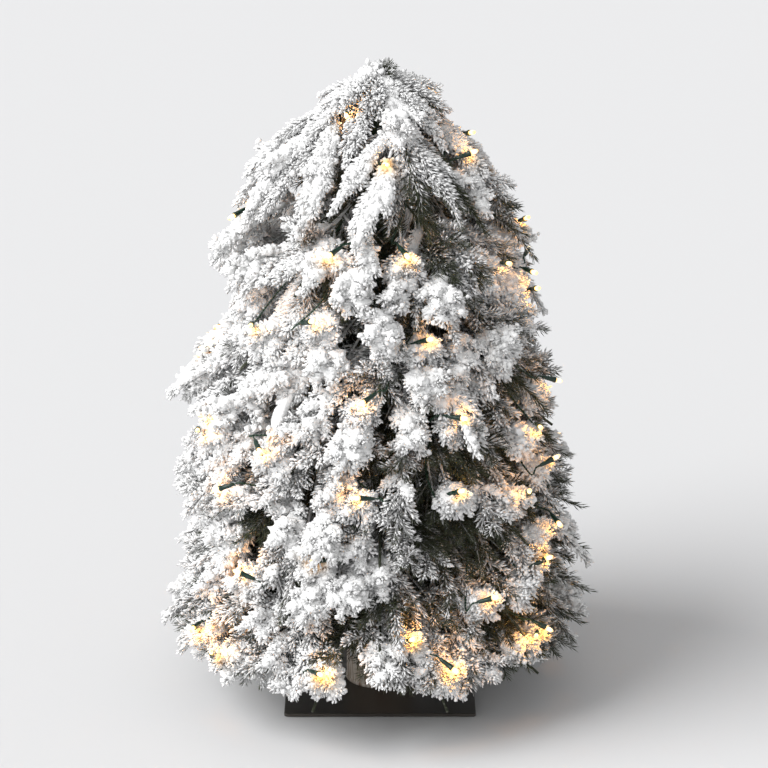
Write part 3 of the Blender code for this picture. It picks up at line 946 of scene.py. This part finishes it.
class Look:
    """A node material, and short calls that add nodes to it."""

    def __init__(self, name):
        self.material = bpy.data.materials.new(name)
        self.material.use_nodes = True
        self.tree = self.material.node_tree
        self.shader = self.tree.nodes["Principled BSDF"]

    def set(self, socket, value):
        """A fixed number or colour on the shader's own socket."""
        self.shader.inputs[socket].default_value = value

    def link(self, socket, value):
        self.tree.links.new(value, self.shader.inputs[socket])

    def add(self, kind, inputs, **settings):
        """A node with its settings, and a link or a fixed value in each of the inputs."""
        made = self.tree.nodes.new(f"ShaderNode{kind}")
        for setting, value in settings.items():
            setattr(made, setting, value)
        for socket, value in inputs.items():
            if isinstance(value, bpy.types.NodeSocket):
                self.tree.links.new(value, made.inputs[socket])
            else:
                made.inputs[socket].default_value = value
        return made

    def places(self):
        return self.add("TexCoord", {}).outputs["Object"]

    def attribute(self, name):
        return self.add("Attribute", {}, attribute_name=name).outputs["Fac"]

    def noise(self, places, scale, detail, rough=0.55):
        inputs = {"Vector": places, "Scale": scale, "Detail": detail, "Roughness": rough}
        return self.add("TexNoise", inputs).outputs["Fac"]

    def maths(self, operation, *values):
        return self.add("Math", dict(enumerate(values)), operation=operation).outputs[0]

    def mix(self, factor, first, second, blend="MIX"):
        inputs = {"Factor": factor, "A": first, "B": second}
        return self.add("Mix", inputs, data_type="RGBA", blend_type=blend).outputs["Result"]

    def ramp(self, value, *stops):
        made = self.add("ValToRGB", {"Fac": value})
        elements = made.color_ramp.elements
        while len(elements) < len(stops):
            elements.new(0.5)
        for element, (position, colour) in zip(elements, stops):
            element.position = position
            element.color = (*colour, 1.0)
        return made.outputs["Color"]

    def bump(self, height, strength, distance):
        made = self.add("Bump", {"Strength": strength, "Distance": distance, "Height": height})
        self.link("Normal", made.outputs["Normal"])


def foliage_material():
    """Green needles where the flock is thin, granular white where it is thick, and a painted warm glow, in
    colour and faint emission, round each lamp.
    """
    look = Look("flocked_needles")
    places = look.places()
    grains = look.noise(places, 420.0, 2.0)
    clouds = look.noise(places, 38.0, 2.0)
    cover = look.maths("MULTIPLY_ADD", grains, 0.55, look.attribute("flock"))
    cover = look.maths("MULTIPLY_ADD", clouds, 0.30, cover)
    green, thin, half = (0.032, 0.041, 0.014), (0.068, 0.076, 0.040), (0.24, 0.24, 0.235)
    stops = (0.12, green), (0.28, thin), (0.44, half), (0.64, (0.72, 0.72, 0.72)), (0.84, WHITE)
    colour = look.ramp(look.maths("SUBTRACT", cover, 0.30), *stops)
    # Painted lamp light: near each bulb the needles are tinted warm and glow faintly, on top of the bulbs'
    # real lights.
    glow = look.attribute("glow")
    warm = (1.0, 0.69, 0.30, 1.0)
    look.link("Base Color", look.mix(look.maths("MULTIPLY", glow, 1.3), colour, warm, "MULTIPLY"))
    look.set("Emission Color", (1.0, 0.46, 0.10, 1.0))
    look.link("Emission Strength", look.maths("MULTIPLY", glow, 0.36))
    look.material.cycles.emission_sampling = "NONE"
    look.set("Roughness", 0.93)
    look.set("Specular IOR Level", 0.25)
    look.set("Sheen Weight", 0.15)
    look.bump(grains, 0.8, 0.0012)
    return look.material


def dusty_material(name, scale, stops, roughness, strength, distance):
    """Fine specks that change both the colour and the height."""
    look = Look(name)
    specks = look.noise(look.places(), scale, 4.0)
    look.link("Base Color", look.ramp(specks, *stops))
    look.set("Roughness", roughness)
    look.bump(specks, strength, distance)
    return look.material


def bark_material():
    """Brown-green tape wrapped on the wire stems, with flock dust."""
    stops = ((0.35, (0.016, 0.022, 0.010)), (0.58, (0.045, 0.05, 0.028)), (0.74, (0.26, 0.26, 0.25)))
    return dusty_material("wrapped_stem", 260.0, stops, 0.85, 0.6, 0.0008)


def felt_material():
    stops = ((0.3, (0.012, 0.012, 0.012)), (0.7, (0.04, 0.04, 0.04)))
    return dusty_material("black_felt", 1500.0, stops, 0.97, 0.8, 0.0004)


def painted_metal(name, dark, light, roughness, metallic, scale):
    look = Look(name)
    places = look.places()
    cloud = look.noise(places, scale, 5.0)
    grain = look.noise(places, scale * 30, 2.0)
    look.link("Base Color", look.ramp(cloud, (0.3, dark), (0.7, light)))
    look.set("Metallic", metallic)
    look.link("Roughness", look.maths("MULTIPLY_ADD", cloud, 0.16, roughness - 0.08))
    look.bump(grain, 0.06, 0.0002)
    return look.material


def wood_material():
    """Whitewashed wood: pale paint worn off along the grain, with reddish heartwood showing in streaks, and
    painted shade in the cracks.
    """
    look = Look("washed_wood")
    along = look.add("Mapping", {"Vector": look.places(), "Scale": (1.0, 1.0, 0.07)}).outputs["Vector"]
    grain = look.noise(along, 260.0, 6.0, 0.7)
    streaks = look.noise(along, 42.0, 3.0)
    paint = (0.30, (0.15, 0.09, 0.055)), (0.42, (0.36, 0.28, 0.21)), (0.54, (0.60, 0.545, 0.475))
    painted = look.ramp(grain, *paint, (0.72, (0.74, 0.70, 0.64)))
    bare = look.ramp(grain, (0.3, (0.10, 0.035, 0.022)), (0.6, (0.30, 0.13, 0.085)))
    where = look.ramp(streaks, (0.56, (0, 0, 0)), (0.66, (0.85, 0.85, 0.85)))
    # Painted shade: the cracks are darkened to near black.
    painted_crack_shade = look.maths("MULTIPLY", look.attribute("flock"), 1.6)
    crack_shade_colour = (0.07, 0.045, 0.03, 1.0)
    look.link("Base Color", look.mix(painted_crack_shade, look.mix(where, painted, bare), crack_shade_colour))
    look.set("Roughness", 0.78)
    look.bump(grain, 0.5, 0.0008)
    return look.material


def plastic_material(name, colour, roughness):
    look = Look(name)
    look.set("Base Color", (*colour, 1.0))
    look.set("Roughness", roughness)
    look.bump(look.noise(look.places(), 900.0, 2.0), 0.15, 0.0002)
    return look.material


def bulb_material():
    """Clear bulb around a bright warm chip: whitest in its middle, orange where it meets the husk."""
    look = Look("lit_bulb")
    orange, amber, cream = (1.0, 0.32, 0.04), (1.0, 0.60, 0.18), (1.0, 0.84, 0.52)
    bright = look.attribute("flock")
    look.link("Emission Color", look.ramp(bright, (0.45, orange), (0.72, amber), (1.0, cream)))
    look.set("Base Color", (1.0, 0.80, 0.50, 1.0))
    look.set("Roughness", 0.15)
    look.set("Emission Strength", 1.45)
    return look.material


# --- studio ---


def make_camera():
    data = bpy.data.cameras.new("camera")
    data.sensor_width = 36.0
    data.lens = CAMERA_LENS
    camera = new_object("camera", data)
    camera.location = (CAMERA_ASIDE, -CAMERA_BACK, CAMERA_HIGH)
    camera.rotation_euler = (pi / 2 - CAMERA_DOWN, 0, 0)
    bpy.context.scene.camera = camera
    bpy.context.scene.view_settings.view_transform = "Standard"


def add_sun(name, energy, softness, lean, heading):
    data = bpy.data.lights.new(name, "SUN")
    data.energy = energy
    data.angle = radians(softness)
    new_object(name, data).rotation_euler = (radians(lean), 0, radians(heading))


def make_studio():
    world = bpy.data.worlds.new("studio")
    world.use_nodes = True
    background = world.node_tree.nodes["Background"]
    background.inputs["Color"].default_value = (0.985, 0.99, 1.0, 1.0)
    background.inputs["Strength"].default_value = 0.52
    bpy.context.scene.world = world
    mesh = bpy.data.meshes.new("floor")
    corners = [(x * FLOOR_HALF, y * FLOOR_HALF, 0) for x, y in ((-1, -1), (1, -1), (1, 1), (-1, 1))]
    mesh.from_pydata(corners, [], [(0, 1, 2, 3)])
    floor = new_object("floor", mesh)
    look = Look("pale_floor")
    look.set("Base Color", (0.63, 0.63, 0.635, 1.0))
    look.set("Roughness", 0.9)
    mesh.materials.append(look.material)
    add_sun("key", 3.6, 46, 50, -66)
    add_sun("fill", 0.85, 70, 74, -20)


# --- the tree ---


def make_boughs(boughs, names, lamps, looks):
    """A piece of foliage for each bough, which rides on it and replaces its CAD node."""
    tiers = collections.Counter(int(body.split("_")[1]) for body in names)
    [(angle, height)] = hanging = in_radians([HANGING_FAN])
    hung = nearest_bough(boughs, angle, height + HANGING_FROM)
    bare_tips = by_bough(boughs, in_radians(BARE_TIPS))
    clumps = by_bough(boughs, in_radians(CLUMPS))
    for body, node in names.items():
        tier, number = (int(text) for text in body.split("_")[1:])
        rng = np.random.default_rng(1000 * tier + number)
        top = tier == max(tiers)
        flock = 0.78 + 0.12 * rng.random() - (0.12 if top else 0.0)
        kinds = HIGH_KINDS if tier >= HIGH_TIER else LOW_KINDS
        extras = (rows.get(body, ()) for rows in (lamps, bare_tips, clumps))
        asked = Asked(*extras, hanging if body == hung else ())
        fan = TOP_FAN if top else FAN
        plant = grow_bough(boughs[body], pi / tiers[tier], flock, rng, fan, kinds, asked)
        lit = [lamp.middle for lamp in asked.lamps]
        piece = make_foliage(f"{node}_spray", plant, boughs[body].stem(flock), looks, rng, lit)
        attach(piece, body)
        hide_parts(node)


def main():
    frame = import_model()
    make_camera()
    make_studio()
    foliage_looks = [foliage_material(), bark_material()]
    joints = {joint["child"]: joint for joint in frame["joints"]}
    names = {body: "tier_{}_bough_{}".format(*body.split("_")[1:]) for body in sorted(joints)}
    boughs = {body: Bough(frame["nodes"][node], joints[body]) for body, node in names.items()}
    lamps = by_bough(boughs, place_lamps(np.random.default_rng(5)))
    make_boughs(boughs, names, lamps, foliage_looks)
    rng = np.random.default_rng(77)
    crown_plant = grow_crown(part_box("top_leader")[1][2], rng)
    crown = make_foliage("crown_sprays", crown_plant, None, foliage_looks, rng)
    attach(crown, "stand")
    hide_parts("top_leader")
    wire_look = plastic_material("green_wire", (0.008, 0.035, 0.015), 0.4)
    lamp_looks = (plastic_material("lamp_husk", (0.004, 0.024, 0.014), 0.32), bulb_material(), wire_look)
    make_lamps(boughs, names, lamps, lamp_looks, np.random.default_rng(5))
    dark_steel = painted_metal("dark_steel", (0.070, 0.062, 0.055), (0.105, 0.094, 0.084), 0.33, 0.75, 9.0)
    green_paint = painted_metal("green_paint", (0.012, 0.03, 0.015), (0.03, 0.06, 0.03), 0.5, 0.0, 30.0)
    trunk = make_trunk(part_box("trunk_log"), wood_material(), np.random.default_rng(9))
    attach(trunk, "stand")
    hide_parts("trunk_log")
    zinc = painted_metal("zinc_steel", (0.45, 0.45, 0.46), (0.6, 0.6, 0.61), 0.35, 1.0, 60.0)
    looks = {"base_plate": dark_steel, "base_pad": felt_material(), "light_wire": wire_look}
    looks.update(base_screw=zinc, pole_plug=zinc)
    for name, node in frame["nodes"].items():
        if "_bough_" in name or name in ("top_leader", "trunk_log"):
            continue
        node.data.materials.clear()
        node.data.materials.append(looks.get(name, green_paint))


main()
